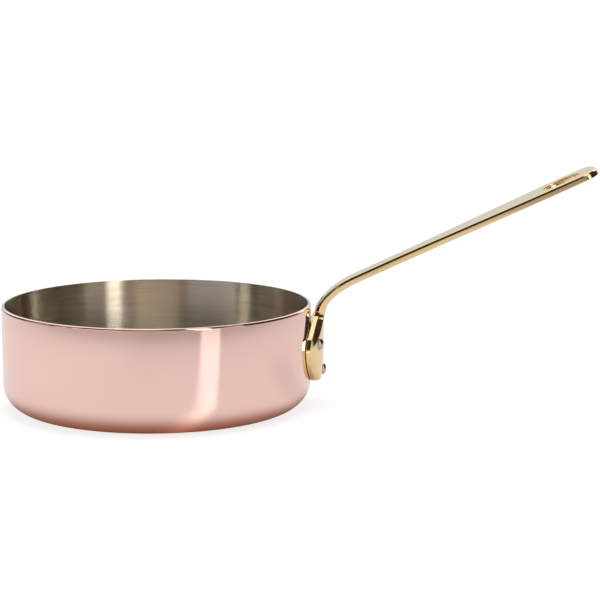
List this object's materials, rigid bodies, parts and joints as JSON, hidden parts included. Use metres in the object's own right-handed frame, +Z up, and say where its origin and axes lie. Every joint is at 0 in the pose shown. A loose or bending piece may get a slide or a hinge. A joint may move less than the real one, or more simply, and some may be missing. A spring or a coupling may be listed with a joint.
{
  "type": "saute pan",
  "caption": "Straight-sided round copper pan lined with steel, with a long rising cast brass handle riveted to its wall and slotted for hanging.",
  "frame": {"origin": "middle of the pan's flat underside", "axes": "+Z up out of the pan, +X out along the handle"},
  "size_m": [0.3849, 0.2, 0.1555],
  "materials": {
    "copper": "mirror-polished bare copper",
    "lining": "stainless steel, finely brushed round the pan",
    "brass": "polished cast brass",
    "rivet": "polished stainless steel"
  },
  "bodies": {
    "root": {"copper_shell": "copper", "steel_lining": "lining", "handle": "brass", "rivet_upper_near": "rivet", "rivet_upper_far": "rivet", "rivet_lower": "rivet"}
  },
  "joints": []
}
